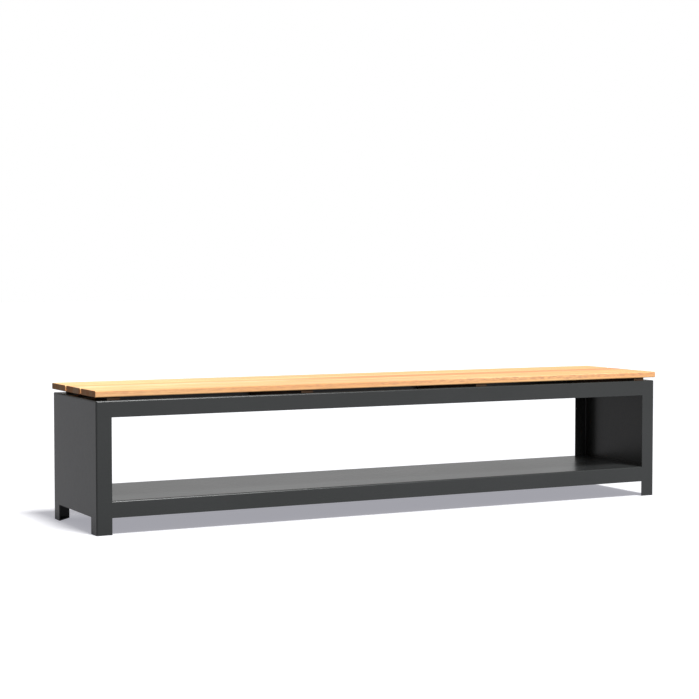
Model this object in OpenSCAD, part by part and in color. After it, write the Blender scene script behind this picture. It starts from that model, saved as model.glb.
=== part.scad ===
// Log storage bench: a folded and welded steel frame with an open log bay,
// and a seat of wooden planks on cross bearers. Millimetres, +Z up, +X along
// the bench, +Y to the back. The origin is on the floor under the middle.

/* [Frame] */
// Length of the steel frame
body_l = 2000; // [1200:10:2400]
// Depth of the steel frame, front face to back face
body_d = 400; // [320:2:500]
// Height of the steel frame's top above the floor
body_h = 395; // [330:1:450]
// Thickness of the frame's sheet steel
sheet_t = 3; // [2:0.5:4]
// Outside radius of every bend in the sheet
bend_r = 5; // [4.5:0.5:8]
// Width of the end panels' front and back returns
stile_w = 48; // [42:1:60]
// Width of the flange that is folded in along each end panel's top
end_flange_w = 35; // [15:1:44]
// Width of the narrow edge that is folded in along the front and back tops
fold_w = 9; // [8.5:0.5:12]

/* [Feet] */
// Height of the shelf's lips and the end panels above the floor
foot_h = 50; // [20:1:80]
// Width of a foot along the end panel
foot_w = 50; // [30:1:80]
// Thickness of the plate that closes a foot
foot_plate_t = 3; // [2:0.5:6]

/* [Rails and shelf] */
// Height of the front and back top rails
top_rail_h = 50; // [40:1:70]
// Depth of the shelf's folded lips, which are the bottom rails
shelf_lip_h = 50; // [40:1:70]
// Height of the ribs under the shelf
rib_h = 30; // [15:1:35]
// Width of the ribs' welded leg
rib_w = 30; // [15:1:50]
// Distance from one rib to the next
rib_pitch = 500; // [300:10:580]
// Gap between a rib's end and the shelf's lip
rib_end_gap = 4; // [3:0.5:10]

/* [Seat] */
// Thickness of a plank
plank_t = 19; // [18:0.5:28]
// Gap between two planks
plank_gap = 11; // [4:0.5:20]
// Radius on a plank's long edges
plank_round = 3; // [1:0.5:5]
// Chamfer on a plank's sawn ends
plank_end_chamfer = 1; // [0.5:0.5:2]
// How far the seat stands out past the frame on every side
seat_overhang = 3; // [0:0.5:10]

// Height of the shadow gap between the frame's top and the planks
shadow_gap = 10; // [8:0.5:14]

/* [Bearers] */
// Width of a bearer along the bench
bearer_w = 40; // [30:1:60]
// Height of a bearer, most of it inside the frame
bearer_h = 40; // [30:1:42]
// Gap between an end bearer's side and the end panel's flange
bearer_side_gap = 2; // [1:0.5:60]
// Gap between a bearer's end and the folded edge of the rail
bearer_end_gap = 1; // [0.5:0.5:3]
// Radius on a bearer's long edges
bearer_round = 1.5; // [0.5:0.5:3]

/* [Brackets] */
// Width of a bracket along the bench
bracket_w = 36; // [20:1:40]
// How far a bracket reaches in under its bearer, from the rail's inner face
bracket_reach = 30; // [26:1:40]
// Distance from the rail's lower edge up to a bracket
bracket_rise = 2; // [0.5:0.5:5]

/* [Plank screws] */
// Diameter of the screws that hold the planks to the bearers
plank_screw_d = 4.5; // [3.5:0.5:5]
// How far a plank screw goes into its plank
plank_screw_bite = 12; // [8:0.5:14]
// How far a plank screw's head is sunk into the bearer
plank_screw_sink = 2; // [0.5:0.5:6]
// Diameter of a plank screw's countersunk head
plank_screw_head_d = 9; // [7:0.5:10]
// Distance between the two screws in a plank, across the plank
plank_screw_pitch = 40; // [30:1:46]
// Distance between the two screws in a plank, along the plank
plank_screw_stagger = 16; // [0:1:20]

/* [Seat screws] */
// Diameter of the screws that hold the bearers to the brackets
seat_screw_d = 6; // [5:0.5:7]
// Length of a seat screw under its head
seat_screw_l = 30; // [24:0.5:31]
// Width across the flats of a seat screw's head
seat_screw_af = 10; // [8:0.5:11]
// Height of a seat screw's head
seat_screw_head_h = 4; // [3:0.5:6]
// Outside diameter of the washers
washer_d = 12; // [11:0.5:14]
// Thickness of the washers
washer_t = 1.6; // [1:0.1:2]
// Distance from the frame's front or back face to the seat screws
seat_screw_in = 22; // [18:0.5:24]

/* [Clearances] */
// Gap all round a screw in wood
wood_play = 0.1; // [0.05:0.05:0.2]
// Gap all round a screw in a bracket or a washer
steel_play = 0.5; // [0.2:0.1:0.8]
// Depth left free in front of a screw's tip
tip_play = 0.5; // [0.2:0.1:1]

/* [Hidden] */
$fn = 48;

steel_colour = [0.26, 0.265, 0.27];
inside_steel_colour = [0.22, 0.225, 0.23];
plank_colour = [0.97, 0.77, 0.55];
bearer_colour = [0.30, 0.22, 0.17];
screw_colour = [0.72, 0.72, 0.70];

// A cut reaches this far past the face that it starts from
cut_over = 1;
half_l = body_l / 2;
half_d = body_d / 2;
bend_in_r = bend_r - sheet_t;
inner_half_l = half_l - sheet_t;
inner_half_d = half_d - sheet_t;
rail_l = body_l - 2 * stile_w;
shelf_top = foot_h + shelf_lip_h;
flange_under = body_h - sheet_t;
plank_under = body_h + shadow_gap;
plank_count = 3;
plank_l = body_l + 2 * seat_overhang;
seat_d = body_d + 2 * seat_overhang;
plank_w = (seat_d - (plank_count - 1) * plank_gap) / plank_count;
bearer_under = plank_under - bearer_h;
bearer_l = body_d - 2 * (fold_w + bearer_end_gap);
bearer_count = 4;
end_bearer_in = end_flange_w + bearer_side_gap + bearer_w / 2;
bearer_pitch = (body_l - 2 * end_bearer_in) / (bearer_count - 1);
bearer_xs = [for (i = [0:bearer_count - 1]) end_bearer_in - half_l + i * bearer_pitch];
bracket_low = body_h - top_rail_h + bracket_rise;
plank_ys = [for (i = [0:plank_count - 1]) (i - (plank_count - 1) / 2) * (plank_w + plank_gap)];
seat_screw_ys = [seat_screw_in - half_d, half_d - seat_screw_in];
seat_screw_z = bearer_under - sheet_t - washer_t;
plank_screw_z = bearer_under + plank_screw_sink;
plank_screw_l = plank_under + plank_screw_bite - plank_screw_z;
plank_screw_head_h = (plank_screw_head_d - plank_screw_d) / 2;
plank_screw_tip_h = plank_screw_d;
seat_screw_tip_h = seat_screw_d / 2;
recess_w = 0.2 * plank_screw_head_d;
recess_l = 0.5 * plank_screw_head_d;
recess_h = 0.6 * plank_screw_head_h;

// One piece of the frame is drawn at the left or front and mirrored for the other side
module other_end() { mirror([1, 0, 0]) children(); }
module other_side() { mirror([0, 1, 0]) children(); }

// An outline in the Y and Z directions, drawn out along X from x0 over a length
module along_x(x0, length) {
    translate([x0, 0, 0]) rotate([90, 0, 90]) linear_extrude(height = length) children();
}

// An outline in the X and Z directions, drawn out along Y and centred on it
module along_y(length) {
    translate([0, length / 2, 0]) rotate([90, 0, 0]) linear_extrude(height = length) children();
}

// A rectangle from one corner to the other
module rect(low, high) {
    translate(low) square(high - low);
}

// A rectangle whose corners are all rounded
module round_rect(low, high, r) {
    rect([low[0] + r, low[1]], [high[0] - r, high[1]]);
    rect([low[0], low[1] + r], [high[0], high[1] - r]);
    for (x = [low[0] + r, high[0] - r], y = [low[1] + r, high[1] - r]) translate([x, y]) circle(r);
}

// A quarter of a bent sheet, with its outside corner at the origin
module bend() {
    intersection() {
        difference() {
            translate([bend_r, -bend_r]) circle(bend_r);
            translate([bend_r, -bend_r]) circle(bend_in_r);
        }
        translate([0, -bend_r]) square(bend_r);
    }
}

// The space inside the left end of the frame's rounded outline, drawn in by an inset:
// the vertical corners and the top edges are bends of the same sheet
module end_block(inset, x_end, z_low) {
    r = bend_r - inset;
    x0 = inset - half_l;
    y0 = half_d - inset;
    z1 = body_h - inset;
    intersection() {
        translate([0, 0, z_low]) linear_extrude(height = z1 - z_low) union() {
            rect([x0 + r, -y0], [x_end, y0]);
            rect([x0, r - y0], [x_end, y0 - r]);
            for (s = [-1, 1]) translate([x0 + r, s * (y0 - r)]) circle(r);
        }
        along_y(body_d) union() {
            rect([x0, z_low], [x_end, z1 - r]);
            rect([x0 + r, z_low], [x_end, z1]);
            translate([x0 + r, z1 - r]) circle(r);
        }
        along_x(x0, x_end - x0) union() {
            rect([-y0, z_low], [y0, z1 - r]);
            rect([r - y0, z_low], [y0 - r, z1]);
            for (s = [-1, 1]) translate([s * (y0 - r), z1 - r]) circle(r);
        }
    }
}

// End panel with its front and back returns, its top flange and its two feet in one sheet
module left_end_shape() {
    x_end = stile_w - half_l;
    difference() {
        end_block(0, x_end, 0);
        end_block(sheet_t, x_end + cut_over, -cut_over);
        translate([end_flange_w - half_l, fold_w - half_d, flange_under - cut_over])
            cube([stile_w, body_d - 2 * fold_w, sheet_t + 2 * cut_over]);
        translate([-half_l - cut_over, foot_w - half_d, -cut_over])
            cube([sheet_t + bend_r, body_d - 2 * foot_w, foot_h + cut_over]);
    }
}
module left_end_panel() {
    color(steel_colour) left_end_shape();
}
module right_end_panel() {
    color(steel_colour) other_end() left_end_shape();
}

// Top rail: a strip of sheet with its top edge folded in
module front_top_rail_shape() {
    along_x(-rail_l / 2, rail_l) union() {
        rect([-half_d, body_h - top_rail_h], [sheet_t - half_d, body_h - bend_r]);
        rect([bend_r - half_d, flange_under], [fold_w - half_d, body_h]);
        translate([-half_d, body_h]) bend();
    }
}
module front_top_rail() {
    color(steel_colour) front_top_rail_shape();
}
module back_top_rail() {
    color(steel_colour) other_side() front_top_rail_shape();
}

// Shelf: one sheet, folded down front and back between the stiles, with a tab at each end
module log_shelf() {
    tab = stile_w - sheet_t;
    color(steel_colour) union() {
        along_x(-rail_l / 2, rail_l) union() {
            rect([bend_r - half_d, shelf_top - sheet_t], [half_d - bend_r, shelf_top]);
            rect([-half_d, foot_h], [sheet_t - half_d, shelf_top - bend_r]);
            rect([half_d - sheet_t, foot_h], [half_d, shelf_top - bend_r]);
            translate([-half_d, shelf_top]) bend();
            translate([half_d, shelf_top]) mirror([1, 0]) bend();
        }
        for (s = [0, 1]) mirror([s, 0, 0]) translate([0, 0, shelf_top - sheet_t])
            linear_extrude(height = sheet_t) polygon([
                [-rail_l / 2, -inner_half_d],
                [-inner_half_l + bend_in_r, -inner_half_d],
                [-inner_half_l, bend_in_r - inner_half_d],
                [-inner_half_l, inner_half_d - bend_in_r],
                [-inner_half_l + bend_in_r, inner_half_d],
                [-rail_l / 2, inner_half_d]
            ]);
    }
}

// Rib: an angle welded under the shelf, across it
module shelf_rib(x) {
    rib_l = 2 * (inner_half_d - rib_end_gap);
    color(inside_steel_colour) translate([x, 0, 0]) along_y(rib_l) union() {
        rect([bend_r - rib_w / 2, shelf_top - 2 * sheet_t], [rib_w / 2, shelf_top - sheet_t]);
        rect([-rib_w / 2, shelf_top - sheet_t - rib_h], [sheet_t - rib_w / 2, shelf_top - sheet_t - bend_r]);
        translate([-rib_w / 2, shelf_top - sheet_t]) bend();
    }
}
module left_shelf_rib() { shelf_rib(-rib_pitch); }
module middle_shelf_rib() { shelf_rib(0); }
module right_shelf_rib() { shelf_rib(rib_pitch); }

// Foot plate: a triangle in the corner of a foot, flush with its underside
module foot_plate() {
    color(steel_colour) linear_extrude(height = foot_plate_t) polygon([
        [bend_in_r - inner_half_l, -inner_half_d],
        [stile_w - half_l, -inner_half_d],
        [-inner_half_l, foot_w - half_d],
        [-inner_half_l, bend_in_r - inner_half_d]
    ]);
}
module front_left_foot_plate() { foot_plate(); }
module front_right_foot_plate() { other_end() foot_plate(); }
module back_left_foot_plate() { other_side() foot_plate(); }
module back_right_foot_plate() { other_end() other_side() foot_plate(); }

// Bracket: an angle welded inside the front rail, with a hole for the seat screw.
// It carries one end of the bearer at x
module front_bracket(x) {
    color(inside_steel_colour) difference() {
        along_x(x - bracket_w / 2, bracket_w) union() {
            rect([bend_r - inner_half_d, bearer_under - sheet_t], [bracket_reach - inner_half_d, bearer_under]);
            rect([-inner_half_d, bracket_low], [sheet_t - inner_half_d, bearer_under - bend_r]);
            translate([-inner_half_d, bearer_under]) bend();
        }
        translate([x, seat_screw_ys[0], bearer_under - sheet_t - cut_over])
            cylinder(d = seat_screw_d + 2 * steel_play, h = sheet_t + 2 * cut_over);
    }
}
module back_bracket(x) { other_side() front_bracket(x); }
module left_front_bracket() { front_bracket(bearer_xs[0]); }
module left_back_bracket() { back_bracket(bearer_xs[0]); }
module middle_left_front_bracket() { front_bracket(bearer_xs[1]); }
module middle_left_back_bracket() { back_bracket(bearer_xs[1]); }
module middle_right_front_bracket() { front_bracket(bearer_xs[2]); }
module middle_right_back_bracket() { back_bracket(bearer_xs[2]); }
module right_front_bracket() { front_bracket(bearer_xs[3]); }
module right_back_bracket() { back_bracket(bearer_xs[3]); }

// Where the plank screws stand on a bearer, measured from the bearer's middle
plank_screw_spots = [for (y = plank_ys, s = [-1, 1]) [s * plank_screw_stagger / 2, y + s * plank_screw_pitch / 2]];

// Bearer: lies between the rails on two brackets, drilled for the plank screws and the seat screws
module bearer(x) {
    color(bearer_colour) difference() {
        translate([x, 0, 0]) along_y(bearer_l)
            round_rect([-bearer_w / 2, bearer_under], [bearer_w / 2, plank_under], bearer_round);
        for (p = plank_screw_spots) translate([x + p[0], p[1], plank_screw_z]) plank_screw_hole();
        for (y = seat_screw_ys) translate([x, y, bearer_under - cut_over])
            cylinder(d = seat_screw_d + 2 * wood_play, h = seat_screw_l - washer_t - sheet_t + tip_play + cut_over);
    }
}
module left_bearer() { bearer(bearer_xs[0]); }
module middle_left_bearer() { bearer(bearer_xs[1]); }
module middle_right_bearer() { bearer(bearer_xs[2]); }
module right_bearer() { bearer(bearer_xs[3]); }

// Plank: long edges rounded, sawn ends chamfered, drilled from below and not through
module plank(y) {
    low = [y - plank_w / 2, plank_under];
    high = [y + plank_w / 2, plank_under + plank_t];
    color(plank_colour) difference() {
        intersection() {
            along_x(-plank_l / 2, plank_l) round_rect(low, high, plank_round);
            translate([0, y, 0]) along_y(plank_w) cut_corners(plank_l / 2, low[1], high[1]);
            translate([0, 0, low[1]]) linear_extrude(height = plank_t) cut_corners(plank_l / 2, low[0], high[0]);
        }
        for (x = bearer_xs, p = plank_screw_spots) if (abs(p[1] - y) < plank_w / 2)
            translate([x + p[0], p[1], plank_screw_z]) plank_screw_hole();
    }
}

// The outline of a plank's ends with their corners cut off
module cut_corners(half, low, high) {
    c = plank_end_chamfer;
    polygon([
        [-half, low + c], [c - half, low], [half - c, low], [half, low + c],
        [half, high - c], [half - c, high], [c - half, high], [-half, high - c]
    ]);
}
module front_plank() { plank(plank_ys[0]); }
module middle_plank() { plank(plank_ys[1]); }
module back_plank() { plank(plank_ys[2]); }

// Countersunk hole for a plank screw, with the screw's head at the origin and its point upwards
module plank_screw_hole() {
    r = plank_screw_d / 2 + wood_play;
    head_r = plank_screw_head_d / 2 + wood_play;
    rotate_extrude() polygon([
        [0, -plank_screw_sink - cut_over], [head_r, -plank_screw_sink - cut_over],
        [head_r, 0], [r, plank_screw_head_h],
        [r, plank_screw_l + tip_play], [0, plank_screw_l + tip_play]
    ]);
}

// Plank screw: countersunk head with a cross recess, shank and point
module plank_screw() {
    r = plank_screw_d / 2;
    difference() {
        rotate_extrude() polygon([
            [0, 0], [plank_screw_head_d / 2, 0], [r, plank_screw_head_h],
            [r, plank_screw_l - plank_screw_tip_h], [0, plank_screw_l]
        ]);
        for (a = [0, 90]) rotate([0, 0, a]) translate([-recess_l / 2, -recess_w / 2, -cut_over])
            cube([recess_l, recess_w, recess_h + cut_over]);
    }
}
module plank_screws() {
    color(screw_colour) for (x = bearer_xs, p = plank_screw_spots)
        translate([x + p[0], p[1], plank_screw_z]) plank_screw();
}

// Seat screw: hexagon head under the washer, shank and point
module seat_screw() {
    r = seat_screw_d / 2;
    translate([0, 0, -seat_screw_head_h]) cylinder(d = seat_screw_af / cos(30), h = seat_screw_head_h, $fn = 6);
    rotate_extrude() polygon([[0, 0], [r, 0], [r, seat_screw_l - seat_screw_tip_h], [0, seat_screw_l]]);
}
module seat_screws() {
    color(screw_colour) for (x = bearer_xs, y = seat_screw_ys)
        translate([x, y, seat_screw_z]) seat_screw();
}
module seat_washers() {
    color(screw_colour) for (x = bearer_xs, y = seat_screw_ys)
        translate([x, y, seat_screw_z]) difference() {
            cylinder(d = washer_d, h = washer_t);
            translate([0, 0, -cut_over])
                cylinder(d = seat_screw_d + 2 * steel_play, h = washer_t + 2 * cut_over);
        }
}

left_end_panel();
right_end_panel();
front_top_rail();
back_top_rail();
log_shelf();
left_shelf_rib();
middle_shelf_rib();
right_shelf_rib();
front_left_foot_plate();
front_right_foot_plate();
back_left_foot_plate();
back_right_foot_plate();
left_front_bracket();
left_back_bracket();
middle_left_front_bracket();
middle_left_back_bracket();
middle_right_front_bracket();
middle_right_back_bracket();
right_front_bracket();
right_back_bracket();
left_bearer();
middle_left_bearer();
middle_right_bearer();
right_bearer();
front_plank();
middle_plank();
back_plank();
plank_screws();
seat_screws();
seat_washers();
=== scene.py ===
# The looks of the log storage bench: black powder coat on the folded steel, light hardwood for
# the seat, sawn wood for its bearers, painted near black as shade with painted light on their
# ends, and zinc on the screws. Metres, in the CAD's frame.
import math

import bpy
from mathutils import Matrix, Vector


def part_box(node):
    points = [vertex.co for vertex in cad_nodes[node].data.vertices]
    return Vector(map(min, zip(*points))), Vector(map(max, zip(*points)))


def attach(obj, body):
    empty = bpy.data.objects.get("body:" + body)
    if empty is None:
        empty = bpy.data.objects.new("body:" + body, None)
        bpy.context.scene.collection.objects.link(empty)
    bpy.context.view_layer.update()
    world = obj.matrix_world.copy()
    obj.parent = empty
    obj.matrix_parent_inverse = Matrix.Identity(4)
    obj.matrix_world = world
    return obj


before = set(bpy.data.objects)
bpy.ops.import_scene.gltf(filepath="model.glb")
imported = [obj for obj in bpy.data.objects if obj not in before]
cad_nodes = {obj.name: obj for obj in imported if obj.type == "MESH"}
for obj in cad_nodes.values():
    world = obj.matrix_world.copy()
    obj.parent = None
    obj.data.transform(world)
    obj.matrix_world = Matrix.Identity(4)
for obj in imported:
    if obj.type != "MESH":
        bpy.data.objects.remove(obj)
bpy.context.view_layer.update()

FOLDED_STEEL = [
    "left_end_panel", "right_end_panel", "front_top_rail", "back_top_rail", "log_shelf",
]
SHELF_RIBS = ["left_shelf_rib", "middle_shelf_rib", "right_shelf_rib"]
FOOT_PLATES = [
    "front_left_foot_plate", "front_right_foot_plate",
    "back_left_foot_plate", "back_right_foot_plate",
]
BEARERS = ["left_bearer", "middle_left_bearer", "middle_right_bearer", "right_bearer"]
BRACKETS = [
    bearer.replace("bearer", face + "_bracket")
    for bearer in BEARERS for face in ("front", "back")
]
SCREWS = ["plank_screws", "seat_screws", "seat_washers"]


# Materials are built node by node. A socket takes a number, a colour or another node's output.
# Most of a noise's values lie in the first range below.
MOST_OF_NOISE = (0.3, 0.7)
MIDDLE_OF_NOISE = 0.5
RISING = (0.0, 1.0)
FALLING = (1.0, 0.0)

# The Mix node's sockets for colours
MIX_SHARE, MIX_FIRST, MIX_SECOND, MIX_RESULT = 0, 6, 7, 2


def new_material(name):
    """A new node material: the material, its node tree and its shader."""
    material = bpy.data.materials.new(name)
    material.use_nodes = True
    tree = material.node_tree
    return material, tree, tree.nodes["Principled BSDF"]


def plug(tree, socket, value):
    """Links an output to a socket, or sets the socket to a value."""
    if isinstance(value, bpy.types.NodeSocket):
        tree.links.new(value, socket)
    else:
        socket.default_value = value


def node(tree, kind, **sockets):
    """A shader node with its input sockets set or linked by name."""
    made = tree.nodes.new("ShaderNode" + kind)
    for key, value in sockets.items():
        plug(tree, made.inputs[key], value)
    return made


def calc(tree, operation, *values):
    made = node(tree, "Math")
    made.operation = operation
    for socket, value in zip(made.inputs, values):
        plug(tree, socket, value)
    return made.outputs[0]


def add(tree, first, second):
    return calc(tree, "ADD", first, second)


def subtract(tree, first, second):
    return calc(tree, "SUBTRACT", first, second)


def multiply(tree, first, second):
    return calc(tree, "MULTIPLY", first, second)


def vector_calc(tree, operation, first, second, output="Vector"):
    made = node(tree, "VectorMath")
    made.operation = operation
    plug(tree, made.inputs[0], first)
    plug(tree, made.inputs["Scale" if operation == "SCALE" else 1], second)
    return made.outputs[output]


def remap(tree, value, source, target=RISING, smooth=False):
    """A value's range turned into another range, held at both ends."""
    made = node(tree, "MapRange", Value=value)
    made.clamp = True
    if smooth:
        made.interpolation_type = "SMOOTHSTEP"
    limits = ("From Min", "From Max", "To Min", "To Max")
    for name, number in zip(limits, source + target):
        made.inputs[name].default_value = number
    return made.outputs["Result"]


def blend_colours(tree, share, first, second, way="MIX"):
    made = node(tree, "Mix")
    made.data_type = "RGBA"
    made.blend_type = way
    plug(tree, made.inputs[MIX_SHARE], share)
    plug(tree, made.inputs[MIX_FIRST], first)
    plug(tree, made.inputs[MIX_SECOND], second)
    return made.outputs[MIX_RESULT]


def noise(tree, place, scale=1.0, detail=2.0, roughness=0.5, output="Fac"):
    made = node(tree, "TexNoise", Vector=place, Scale=scale, Detail=detail, Roughness=roughness)
    return made.outputs[output]


def grained(tree, place, squeeze, detail, roughness):
    """A noise squeezed along X, Y and Z by a factor each, so that it runs lengthwise."""
    return noise(tree, vector_calc(tree, "MULTIPLY", place, squeeze), 1.0, detail, roughness)


def bump(tree, height, depth, under=None):
    made = node(tree, "Bump", Height=height, Distance=depth, Strength=1.0)
    if under is not None:
        plug(tree, made.inputs["Normal"], under)
    return made.outputs["Normal"]


def object_place(tree):
    return node(tree, "TexCoord").outputs["Object"]


def parts(tree, vector):
    """A vector's X, Y and Z."""
    return node(tree, "SeparateXYZ", Vector=vector).outputs


def facing(tree, axis, limits):
    """1 on the faces that look along an axis, either way, and 0 on the others."""
    normal = parts(tree, node(tree, "NewGeometry").outputs["Normal"])
    return remap(tree, calc(tree, "ABSOLUTE", normal[axis]), limits)


def opaque(colour):
    return colour + (1.0,)


def tinted(colour, tint):
    """A colour multiplied by a tint, channel by channel."""
    return opaque(tuple(channel * part for channel, part in zip(colour, tint)))


def dress(names, material):
    for name in names:
        slots = cad_nodes[name].data.materials
        slots.clear()
        slots.append(material)


# Black satin powder coat: a fine orange peel, tiny pale grains and a slow change of tone
COAT_DARKER = (0.029, 0.031, 0.031)
COAT_PALER = (0.033, 0.035, 0.0355)
COAT_GRAIN = (0.060, 0.062, 0.064)
COAT_ROUGHNESS = (0.26, 0.29)
GRAIN_ROUGHNESS = (-0.02, 0.02)
GRAIN_LIMITS, GRAIN_SHARES = (0.62, 0.75), (0.0, 0.3)
GRAIN_DEPTH = 0.00001
PEEL_DEPTH = 0.00002
COAT_IOR = 1.4


def powder_coat():
    material, tree, shader = new_material("black_powder_coat")
    place = object_place(tree)
    cloud = noise(tree, place, scale=3.0, detail=3.0)
    grains = noise(tree, place, scale=900.0, roughness=0.6)
    peel = noise(tree, place, scale=260.0, roughness=0.45)

    slow_change = remap(tree, cloud, MOST_OF_NOISE)
    tone = blend_colours(tree, slow_change, opaque(COAT_DARKER), opaque(COAT_PALER))
    few_grains = remap(tree, grains, GRAIN_LIMITS, GRAIN_SHARES)
    tone = blend_colours(tree, few_grains, tone, opaque(COAT_GRAIN))
    plug(tree, shader.inputs["Base Color"], tone)

    rough = add(
        tree,
        remap(tree, cloud, MOST_OF_NOISE, COAT_ROUGHNESS),
        remap(tree, grains, MOST_OF_NOISE, GRAIN_ROUGHNESS),
    )
    plug(tree, shader.inputs["Roughness"], rough)
    peeled = bump(tree, peel, PEEL_DEPTH)
    plug(tree, shader.inputs["Normal"], bump(tree, grains, GRAIN_DEPTH, peeled))
    shader.inputs["IOR"].default_value = COAT_IOR
    return material


# Sawn wood: growth rings round the tree's heart, long streaks and fine pores along the grain, and
# end grain in a tone of its own and rougher. On the bearers that end tone is painted light, lighter
# than their painted shade sides. The grain runs along X, or along Y where the piece is turned.
PALE_TINT = (1.03, 1.13, 1.20)
WARM_TINT = (1.00, 0.87, 0.82)
BROWN_TINT = (0.78, 0.66, 0.60)
WANDER_SQUEEZE = (0.9, 7.0, 7.0)
RING_SWAY = 0.035
LATE_WOOD_GROWS = (0.25, 0.86)
LATE_WOOD_STOPS = (0.88, 1.0)
LATE_WOOD_SHARE = 0.35
BAND_SQUEEZE, BAND_LIMITS = (1.0, 30.0, 30.0), (0.38, 0.60)
STREAK_SQUEEZE, STREAK_LIMITS, STREAK_SHARES = (14.0, 300.0, 300.0), (0.50, 0.72), (0.0, 0.75)
FIBRE_SQUEEZE, FIBRE_LIMITS, FIBRE_SHARES = (45.0, 1500.0, 1500.0), (0.55, 0.75), (0.0, 0.4)
LATE_WOOD_HEIGHT, FIBRE_HEIGHT, HEIGHT_LIMITS = 0.3, 0.7, (0.2, 0.8)
END_GRAIN_FACES = (0.45, 0.75)
END_GRAIN_ROUGHNESS = 0.95
WOOD_ROUGHNESS = (0.62, 0.50)
PORE_DEPTH = 0.00012
WOOD_IOR = 1.4


def sawn_wood(name, colour, end_tint, heart, ring_step, seed, gloss, turned=False, figure=None):
    material, tree, shader = new_material(name)
    pale, warm, brown = (tinted(colour, tint) for tint in (PALE_TINT, WARM_TINT, BROWN_TINT))
    turn = math.radians(90.0) if turned else 0
    along = node(
        tree, "Mapping", Vector=object_place(tree), Location=(seed, 0, 0), Rotation=(0, 0, turn),
    ).outputs["Vector"]

    # Rings round the heart, bent a little on their way along the plank
    lengthwise = vector_calc(tree, "MULTIPLY", along, WANDER_SQUEEZE)
    wander = noise(tree, lengthwise, roughness=0.45, output="Color")
    wander = vector_calc(tree, "SUBTRACT", wander, (MIDDLE_OF_NOISE,) * 3)
    sway = vector_calc(tree, "SCALE", wander, RING_SWAY)
    bent = parts(tree, vector_calc(tree, "ADD", along, sway))
    heart_y, heart_z = heart
    across = subtract(tree, bent["Y"], heart_y)
    up = subtract(tree, bent["Z"], heart_z)
    squares = add(tree, multiply(tree, across, across), multiply(tree, up, up))
    radius = calc(tree, "SQRT", squares)
    ring = calc(tree, "FRACT", calc(tree, "DIVIDE", radius, ring_step))
    late = multiply(
        tree, remap(tree, ring, LATE_WOOD_GROWS), remap(tree, ring, LATE_WOOD_STOPS, FALLING),
    )

    band = grained(tree, along, BAND_SQUEEZE, detail=3.0, roughness=0.55)
    streak = grained(tree, along, STREAK_SQUEEZE, detail=3.0, roughness=0.6)
    fibre = grained(tree, along, FIBRE_SQUEEZE, detail=2.0, roughness=0.6)
    tone = blend_colours(tree, remap(tree, band, BAND_LIMITS, smooth=True), pale, warm)
    if figure is not None:
        tone = figure(tree, tone)
    tone = blend_colours(tree, multiply(tree, late, LATE_WOOD_SHARE), tone, brown)
    tone = blend_colours(tree, remap(tree, streak, STREAK_LIMITS, STREAK_SHARES), tone, brown)
    tone = blend_colours(tree, remap(tree, fibre, FIBRE_LIMITS, FIBRE_SHARES), tone, brown)

    end = facing(tree, "Y" if turned else "X", END_GRAIN_FACES)
    # On the bearers the end tint is above 1: painted light on their ends
    sawn_end = blend_colours(tree, 1.0, tone, opaque(end_tint), "MULTIPLY")
    plug(tree, shader.inputs["Base Color"], blend_colours(tree, end, tone, sawn_end))

    late_height = multiply(tree, late, LATE_WOOD_HEIGHT)
    grain = add(tree, late_height, multiply(tree, fibre, FIBRE_HEIGHT))
    along_grain = remap(tree, grain, HEIGHT_LIMITS, WOOD_ROUGHNESS)
    end_grain = multiply(tree, end, END_GRAIN_ROUGHNESS)
    plug(tree, shader.inputs["Roughness"], calc(tree, "MAXIMUM", along_grain, end_grain))
    pores = multiply(tree, grain, -1.0)
    plug(tree, shader.inputs["Normal"], bump(tree, pores, PORE_DEPTH))
    shader.inputs["IOR"].default_value = WOOD_IOR
    shader.inputs["Specular IOR Level"].default_value = gloss
    return material


# Yellower wood towards a plank's right end and its back, from first_x and first_y on
YELLOW_TINT = (1.0, 1.12, 1.04)
YELLOW_RAMP_X = 0.5
YELLOW_RAMP_Y = 0.04


def yellow_end(tree, tone, first_x, first_y):
    place = parts(tree, object_place(tree))
    rightwards = remap(tree, place["X"], (first_x, first_x + YELLOW_RAMP_X), smooth=True)
    backwards = remap(tree, place["Y"], (first_y, first_y + YELLOW_RAMP_Y), smooth=True)
    share = multiply(tree, rightwards, backwards)
    return blend_colours(tree, share, tone, opaque(YELLOW_TINT), "MULTIPLY")


# The back plank: yellower on its back half
def yellow_back(tree, tone):
    return yellow_end(tree, tone, first_x=-0.3, first_y=0.10)


# The front plank: yellower at its right end. Its long edge has painted shade, a browner top part
# with a wavy lower limit, and short dark dashes. Both are stronger to the right.
# The brown of the painted shade along the front plank's top edge, also used for the dashes
EDGE_SHADE_BROWN = (0.68, 0.34, 0.20)
EDGE_FACES = (0.6, 0.8)
EDGE_RAMP_X, EDGE_STRENGTH = (-0.65, 0.5), (0.62, 1.25)
EDGE_LIMIT_Z = (0.409, 0.414)
EDGE_WAVE_SQUEEZE, EDGE_WAVE = (9.0, 0.0, 60.0), 0.012
EDGE_SHADE_SHARE = 0.14
DASH_SQUEEZE, DASH_LIMITS = (40.0, 0.0, 300.0), (0.47, 0.58)
DASH_SHARE = 0.75


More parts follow.
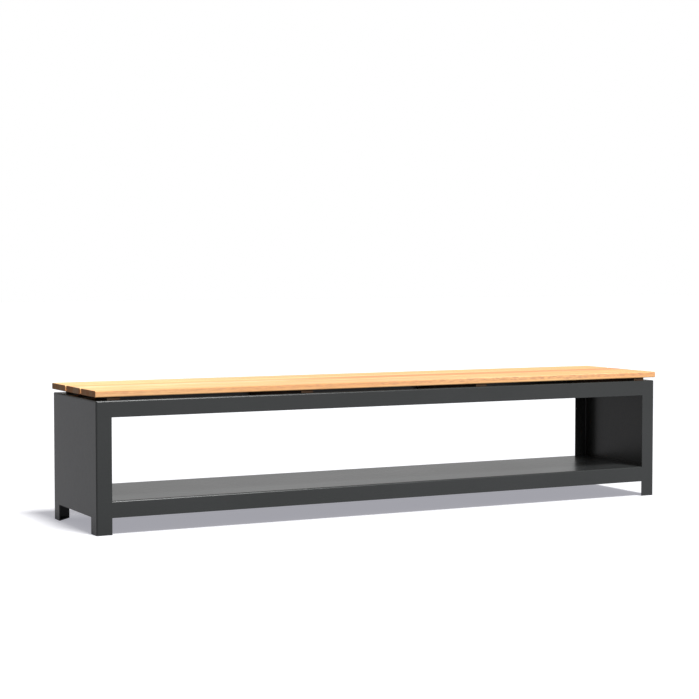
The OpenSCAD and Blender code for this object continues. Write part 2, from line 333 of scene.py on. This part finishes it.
def painted_edge_shade_and_dashes(tree, tone):
    tone = yellow_end(tree, tone, first_x=0.0, first_y=-0.215)
    coordinates = object_place(tree)
    place = parts(tree, coordinates)
    strength = remap(tree, place["X"], EDGE_RAMP_X, EDGE_STRENGTH, smooth=True)
    side = multiply(tree, facing(tree, "Y", EDGE_FACES), strength)
    soft = grained(tree, coordinates, EDGE_WAVE_SQUEEZE, detail=2.0, roughness=0.5)
    wave = multiply(tree, subtract(tree, soft, MIDDLE_OF_NOISE), EDGE_WAVE)
    # Painted shade: a darker brown band along the top part of the front face, under its rounded top
    # edge
    shaded_upper = remap(tree, add(tree, place["Z"], wave), EDGE_LIMIT_Z, smooth=True)
    dashes = grained(tree, coordinates, DASH_SQUEEZE, detail=3.0, roughness=0.6)
    dashes = multiply(tree, shaded_upper, remap(tree, dashes, DASH_LIMITS))
    brown = add(tree, multiply(tree, shaded_upper, EDGE_SHADE_SHARE), multiply(tree, dashes, DASH_SHARE))
    return blend_colours(tree, multiply(tree, side, brown), tone, opaque(EDGE_SHADE_BROWN))


# The middle plank: a streak of redder heartwood from left of the middle to the right end, and a
# paler one in front of it along the left part. Both sway together.
RED_HEARTWOOD = (0.94, 0.32, 0.145)
RED_STREAK_Y = 0.012
RED_STREAK_EDGE = (0.014, 0.040)
RED_STREAK_STARTS_X = (-0.35, 0.05)
RED_STREAK_FADES_X, RED_STREAK_FADE = (0.30, 0.55), (1.0, 0.85)
RED_GRAIN_SQUEEZE, RED_GRAIN_LIMITS = (3.0, 170.0, 170.0), (0.38, 0.60)
RED_GRAIN_STRENGTH = (0.62, 1.2)
PALE_STREAK = (1.0, 0.77, 0.46)
PALE_STREAK_FORWARD = 0.035
PALE_STREAK_EDGE = (0.008, 0.03)
PALE_STREAK_ENDS_X = (-0.45, -0.15)
PALE_STREAK_SHARE = 0.9
SWAY_SQUEEZE, STREAK_SWAY = (2.2, 34.0, 34.0), 0.07


def red_streak(tree, tone):
    coordinates = object_place(tree)
    place = parts(tree, coordinates)
    soft = grained(tree, coordinates, SWAY_SQUEEZE, detail=3.0, roughness=0.6)
    grain = grained(tree, coordinates, RED_GRAIN_SQUEEZE, detail=2.0, roughness=0.6)
    sway = multiply(tree, subtract(tree, soft, MIDDLE_OF_NOISE), STREAK_SWAY)
    offset = add(tree, subtract(tree, place["Y"], RED_STREAK_Y), sway)

    forward = calc(tree, "ABSOLUTE", add(tree, offset, PALE_STREAK_FORWARD))
    pale = multiply(
        tree,
        remap(tree, forward, PALE_STREAK_EDGE, FALLING, smooth=True),
        remap(tree, place["X"], PALE_STREAK_ENDS_X, FALLING, smooth=True),
    )
    pale = multiply(tree, pale, PALE_STREAK_SHARE)
    tone = blend_colours(tree, pale, tone, opaque(PALE_STREAK))

    width = remap(tree, calc(tree, "ABSOLUTE", offset), RED_STREAK_EDGE, FALLING, smooth=True)
    starts = remap(tree, place["X"], RED_STREAK_STARTS_X, smooth=True)
    fades = remap(tree, place["X"], RED_STREAK_FADES_X, RED_STREAK_FADE, smooth=True)
    red = multiply(tree, width, multiply(tree, starts, fades))
    red = multiply(tree, red, remap(tree, grain, RED_GRAIN_LIMITS, RED_GRAIN_STRENGTH))
    return blend_colours(tree, red, tone, opaque(RED_HEARTWOOD))


# Zinc plating on the screws and washers
ZINC_DARKER = (0.50, 0.51, 0.50)
ZINC_PALER = (0.72, 0.71, 0.66)
ZINC_ROUGHNESS = (0.28, 0.46)
ZINC_DEPTH = 0.00001


def zinc():
    material, tree, shader = new_material("zinc_plating")
    place = object_place(tree)
    bloom = noise(tree, place, scale=120.0, detail=3.0, roughness=0.6)
    tone = blend_colours(tree, bloom, opaque(ZINC_DARKER), opaque(ZINC_PALER))
    plug(tree, shader.inputs["Base Color"], tone)
    plug(tree, shader.inputs["Roughness"], remap(tree, bloom, MOST_OF_NOISE, ZINC_ROUGHNESS))
    crystals = bump(tree, noise(tree, place, scale=1400.0), ZINC_DEPTH)
    plug(tree, shader.inputs["Normal"], crystals)
    shader.inputs["Metallic"].default_value = 1.0
    return material


# The studio: a pale floor and a white surround. Both are white where the camera sees them, pale
# where the bench mirrors them and duller where it mirrors them towards the back left. They light
# the bench weakly. Levels are shares of the full white.
DULL = 0.495
FLOOR_SIZE = 60.0
FLOOR_WHITE = (0.79, 0.79, 0.79)
FLOOR_UNSEEN = (0.10, 0.10, 0.10)
FLOOR_GLOW = (0.352, 0.352, 0.388)
FLOOR_ROUGHNESS = 0.9
BLACK = (0.0, 0.0, 0.0)
WHITE = (1.0, 1.0, 1.0)
FRONT_RIGHT = (0.5, -0.87, 0.0)
FRONT_STARTS = (-0.3, 0.3)
FRONT_X, FRONT_LEVELS = (0.0, 4.0), (0.69, 1.04)
MIRRORED_X, MIRRORED_X_LEVELS = (-0.30, 0.25), (DULL, 0.92)
MIRRORED_Y, MIRRORED_Y_LEVELS = (-0.3, 0.4), (0.50, 0.72)
LIGHTING_X, LIGHTING_LEVELS = (-0.95, -0.40), (0.06, 0.17)


def seen_or_mirrored(tree):
    """1 where the camera sees it, and 1 where the camera sees it or a gloss mirrors it."""
    rays = node(tree, "LightPath").outputs
    mirrored = calc(tree, "MAXIMUM", rays["Is Glossy Ray"], rays["Is Transmission Ray"])
    return rays["Is Camera Ray"], calc(tree, "MAXIMUM", rays["Is Camera Ray"], mirrored)


def floor_material():
    material, tree, shader = new_material("pale_floor")
    seen, shown = seen_or_mirrored(tree)
    place = object_place(tree)
    forwards = vector_calc(tree, "DOT_PRODUCT", place, FRONT_RIGHT, "Value")
    in_front = remap(tree, forwards, FRONT_STARTS, smooth=True)
    front_level = remap(tree, parts(tree, place)["X"], FRONT_X, FRONT_LEVELS)
    above_dull = multiply(tree, in_front, subtract(tree, front_level, DULL))
    level = calc(tree, "MAXIMUM", seen, add(tree, DULL, above_dull))
    pale = blend_colours(tree, level, opaque(BLACK), opaque(FLOOR_WHITE))
    tone = blend_colours(tree, shown, opaque(FLOOR_UNSEEN), pale)
    plug(tree, shader.inputs["Base Color"], tone)
    plug(tree, shader.inputs["Emission Color"], opaque(FLOOR_GLOW))
    plug(tree, shader.inputs["Emission Strength"], multiply(tree, shown, level))
    shader.inputs["Roughness"].default_value = FLOOR_ROUGHNESS
    shader.inputs["Specular IOR Level"].default_value = 0.0
    return material


def white_surround():
    world = bpy.data.worlds.new("studio_surround")
    bpy.context.scene.world = world
    world.use_nodes = True
    tree = world.node_tree
    shader = tree.nodes["Background"]
    seen, shown = seen_or_mirrored(tree)
    toward = parts(tree, node(tree, "TexCoord").outputs["Generated"])

    mirrored = multiply(
        tree,
        remap(tree, toward["X"], MIRRORED_X, MIRRORED_X_LEVELS, smooth=True),
        remap(tree, toward["Y"], MIRRORED_Y, MIRRORED_Y_LEVELS, smooth=True),
    )
    mirrored = multiply(tree, mirrored, subtract(tree, 1.0, seen))
    lighting = remap(tree, toward["X"], LIGHTING_X, LIGHTING_LEVELS)
    strength = add(
        tree,
        multiply(tree, shown, calc(tree, "MAXIMUM", seen, mirrored)),
        multiply(tree, subtract(tree, 1.0, shown), lighting),
    )
    plug(tree, shader.inputs["Color"], opaque(WHITE))
    plug(tree, shader.inputs["Strength"], strength)


# The lamps: a soft sun, which alone lights the floor and gives the shadow on it, and three
# softboxes. They face the middle of the bench's front, but the one over the seat faces down.
BENCH_MIDDLE = Vector((0.0, -0.2, 0.3))
TOWARDS_SUN = Vector((0.09, -0.47, 1.0))
SUN_DISTANCE = 6
SUN_STRENGTH = 2.95
SUN_WIDTH_DEGREES = 12.5


def lamp(name, kind, place, energy):
    holder = bpy.data.objects.new(name, bpy.data.lights.new(name, kind))
    holder.data.energy = energy
    holder.location = place
    away = Vector(place) - BENCH_MIDDLE
    holder.rotation_euler = away.to_track_quat("Z", "Y").to_euler()
    holder.visible_camera = False
    bpy.context.scene.collection.objects.link(holder)
    return holder


def softbox(name, lit, place, watts, width, height):
    holder = lamp(name, "AREA", place, watts)
    light = holder.data
    light.shape, light.size, light.size_y = "RECTANGLE", width, height
    holder.light_linking.receiver_collection = lit
    return holder


def lamps(floor):
    sun_place = BENCH_MIDDLE + TOWARDS_SUN * SUN_DISTANCE
    sun = lamp("key_light", "SUN", sun_place, SUN_STRENGTH)
    sun.data.angle = math.radians(SUN_WIDTH_DEGREES)

    not_the_floor = bpy.data.collections.new("lamps_leave_out")
    not_the_floor.objects.link(floor)
    not_the_floor.collection_objects[0].light_linking.link_state = "EXCLUDE"
    steel_only = bpy.data.collections.new("strip_lights_steel")
    for name in FOLDED_STEEL:
        steel_only.objects.link(cad_nodes[name])

    front = softbox(
        "front_softbox", not_the_floor,
        place=(1.6, -5.0, 2.2), watts=182.0, width=2.4, height=1.6,
    )
    front.visible_glossy = False
    tall = softbox(
        "tall_softbox", steel_only,
        place=(0.80, -4.0, 3.8), watts=460.0, width=2.0, height=4.0,
    )
    tall.visible_diffuse = False
    seat = softbox(
        "seat_softbox", not_the_floor,
        place=(-1.25, -0.14, 1.25), watts=3.8, width=0.6, height=0.6,
    )
    seat.rotation_euler = (0, 0, 0)


# The camera: the photograph's frame is square, and its lens is long
LENS_MM = 90.186
SENSOR_MM = 36.0
CAMERA_PLACE = (-2.6686, -5.0372, 0.7899)
CAMERA_TILT_DOWN = 2.775
CAMERA_TURN_RIGHT = 27.294


def photo_camera():
    camera_data = bpy.data.cameras.new("camera")
    camera_data.lens = LENS_MM
    camera_data.sensor_width = SENSOR_MM
    camera = bpy.data.objects.new("camera", camera_data)
    camera.location = CAMERA_PLACE
    tilt = math.radians(90.0 - CAMERA_TILT_DOWN)
    camera.rotation_euler = (tilt, 0.0, math.radians(-CAMERA_TURN_RIGHT))
    bpy.context.scene.collection.objects.link(camera)
    bpy.context.scene.camera = camera


def studio():
    bpy.ops.object.select_all(action="DESELECT")
    bpy.ops.mesh.primitive_plane_add(size=FLOOR_SIZE, location=(0, 0, 0))
    floor = bpy.context.object
    floor.name = "studio_floor"
    floor.data.materials.append(floor_material())
    white_surround()
    lamps(floor)
    photo_camera()
    bpy.context.scene.view_settings.view_transform = "Standard"


# Weld beads: they hold the frame together on its hidden sides, and are coated with it. The widths
# along a bead are shares of its radius.
RIPPLE_LENGTH = 0.0027
BEAD_SIDES = 12
BEAD_TIP = 0.4
BEAD_STARTS = [0.72, 0.92]
BEAD_RIPPLE = [1.0, 0.84]
BEAD_STOPS = [1.0, 0.92, 0.72, BEAD_TIP]
UPWARDS = (0, 0, 0)
BACKWARDS = (math.radians(-90.0), 0, 0)
RIGHTWARDS = (0, math.radians(90.0), 0)


def weld_bead(length, radius):
    """A bead up the Z axis from the origin, in overlapping ripples with rounded ends."""
    ripples = round(length / RIPPLE_LENGTH)
    widths = BEAD_STARTS + BEAD_RIPPLE * (ripples - 2) + BEAD_STOPS
    step = length / len(widths)
    bpy.ops.object.select_all(action="DESELECT")
    bpy.ops.mesh.primitive_circle_add(
        vertices=BEAD_SIDES, radius=BEAD_TIP * radius, fill_type="NGON",
    )
    bead = bpy.context.object
    bpy.ops.object.mode_set(mode="EDIT")
    bpy.ops.mesh.select_all(action="SELECT")
    before = BEAD_TIP
    for width in widths:
        bpy.ops.mesh.extrude_region_move(TRANSFORM_OT_translate={"value": (0, 0, step)})
        bpy.ops.transform.resize(value=(width / before, width / before, 1.0))
        before = width
    bpy.ops.mesh.select_all(action="SELECT")
    bpy.ops.mesh.normals_make_consistent(inside=False)
    bpy.ops.object.mode_set(mode="OBJECT")
    bpy.ops.object.shade_smooth()
    return bead


def weld_group(name, coat, length, radius, places):
    """One bead, copied to each place, where it starts, and joined into one piece."""
    bead = weld_bead(length, radius)
    copies = []
    for place, turn in places:
        copy = bead.copy()
        copy.data = bead.data.copy()
        copy.location, copy.rotation_euler = place, turn
        bpy.context.scene.collection.objects.link(copy)
        copies.append(copy)
    bpy.data.objects.remove(bead)
    bpy.ops.object.select_all(action="DESELECT")
    for copy in copies:
        copy.select_set(True)
    bpy.context.view_layer.objects.active = copies[0]
    bpy.ops.object.join()
    bpy.ops.object.transform_apply(location=True, rotation=True, scale=True)
    group = bpy.context.object
    group.name = name
    group.data.materials.clear()
    group.data.materials.append(coat)
    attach(group, "root")


def middle_x(name):
    low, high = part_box(name)
    return (low.x + high.x) / 2


# Where the beads lie: behind the joints of rails and lips with the end panels, and in the inner
# corners along the end panels, the front and back sheets, the shelf's underside and the foot plates
JOINT_X, JOINT_Y = 0.952, 0.1975
RAIL_JOINT_FROM_Z, RAIL_JOINT_BEAD = 0.367, 0.022
LIP_JOINT_FROM_Z, LIP_JOINT_BEAD = 0.053, 0.040
END_CORNER_X = 0.9965
SHEET_CORNER_Y = 0.1965
SHELF_CORNER_Z = 0.0965
PLATE_CORNER_Z = 0.0035
ALONG_SHELF_END_Y = (-0.12, 0.0, 0.12)
SHELF_END_BEAD = 0.040

# The beads' radii
THICK, MEDIUM, THIN = 0.0022, 0.0018, 0.0016

# Each rib has a row of beads beside its bend and a row beside its edge, both off its middle
ALONG_RIB_Y = (-0.16, 0.0, 0.16)
RIB_BEND_X, RIB_BEND_Z = -0.0138, 0.0962
RIB_EDGE_X = 0.0153
RIB_BEAD = 0.025

BRACKET_HALF_WIDTH = 0.0182
BRACKET_FROM_Z, BRACKET_BEAD = 0.3485, 0.012
FOOT_PLATE_X, FOOT_PLATE_Y = 0.975, 0.1735
FOOT_PLATE_BEAD = 0.034


def frame_welds(coat):
    both_ways = (-1, 1)
    corners = [(side, face) for side in both_ways for face in both_ways]

    def joint_places(from_z):
        return [((side * JOINT_X, face * JOINT_Y, from_z), UPWARDS) for side, face in corners]

    rail_joints = joint_places(RAIL_JOINT_FROM_Z)
    weld_group("top_rail_end_welds", coat, RAIL_JOINT_BEAD, MEDIUM, rail_joints)
    lip_joints = joint_places(LIP_JOINT_FROM_Z)
    weld_group("shelf_lip_end_welds", coat, LIP_JOINT_BEAD, MEDIUM, lip_joints)

    shelf_ends = [
        ((side * END_CORNER_X, middle - SHELF_END_BEAD / 2, SHELF_CORNER_Z), BACKWARDS)
        for side in both_ways for middle in ALONG_SHELF_END_Y
    ]
    weld_group("shelf_end_welds", coat, SHELF_END_BEAD, THICK, shelf_ends)

    rib_sides = ((RIB_BEND_X, RIB_BEND_Z), (RIB_EDGE_X, SHELF_CORNER_Z))
    ribs = [
        ((x + beside, middle - RIB_BEAD / 2, height), BACKWARDS)
        for x in map(middle_x, SHELF_RIBS)
        for beside, height in rib_sides for middle in ALONG_RIB_Y
    ]
    weld_group("shelf_rib_welds", coat, RIB_BEAD, MEDIUM, ribs)

    brackets = [
        ((x + side * BRACKET_HALF_WIDTH, face * SHEET_CORNER_Y, BRACKET_FROM_Z), UPWARDS)
        for x in map(middle_x, BEARERS) for side, face in corners
    ]
    weld_group("bracket_welds", coat, BRACKET_BEAD, THIN, brackets)

    along_fronts = [
        ((side * FOOT_PLATE_X - FOOT_PLATE_BEAD / 2, face * SHEET_CORNER_Y, PLATE_CORNER_Z),
         RIGHTWARDS)
        for side, face in corners
    ]
    along_ends = [
        ((side * END_CORNER_X, face * FOOT_PLATE_Y - FOOT_PLATE_BEAD / 2, PLATE_CORNER_Z),
         BACKWARDS)
        for side, face in corners
    ]
    weld_group("foot_plate_welds", coat, FOOT_PLATE_BEAD, THIN, along_fronts + along_ends)


# The seat's planks. The heart is given from the plank's middle, to the back and up.
PLANK_END_TINT = (0.575, 0.54, 0.65)
PLANK_RING_STEP = 0.0042
PLANK_GLOSS = 0.25
PLANKS = {
    "front_plank": {
        "colour": (0.94, 0.565, 0.266), "heart": (0.03, -0.13), "seed": 0.0,
        "figure": painted_edge_shade_and_dashes,
    },
    "middle_plank": {
        "colour": (0.94, 0.560, 0.262), "heart": (-0.02, -0.17), "seed": 3.7,
        "figure": red_streak,
    },
    "back_plank": {
        "colour": (0.95, 0.615, 0.293), "heart": (0.05, -0.11), "seed": 7.4,
        "figure": yellow_back,
    },
}


def plank_wood(name):
    look = PLANKS[name]
    low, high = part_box(name)
    middle = (low + high) / 2
    behind, above = look["heart"]
    return sawn_wood(
        name + "_wood", colour=look["colour"], end_tint=PLANK_END_TINT,
        heart=(middle.y + behind, middle.z + above), ring_step=PLANK_RING_STEP,
        seed=look["seed"], gloss=PLANK_GLOSS, figure=look["figure"],
    )


# The bearers: wood painted near black as painted shade for the dark under the seat, with their ends
# tinted 2.5 times lighter as painted light where light comes in under the planks
def bearer_wood():
    return sawn_wood(
        "bearer_wood", colour=(0.042, 0.027, 0.018), end_tint=(2.5, 2.6, 2.6),
        heart=(0.6, 0.25), ring_step=0.0035, seed=1.3, gloss=0.08, turned=True,
    )


studio()
coat = powder_coat()
frame_welds(coat)
dress(FOLDED_STEEL + SHELF_RIBS + FOOT_PLATES + BRACKETS, coat)
for plank in PLANKS:
    dress([plank], plank_wood(plank))
dress(BEARERS, bearer_wood())
dress(SCREWS, zinc())
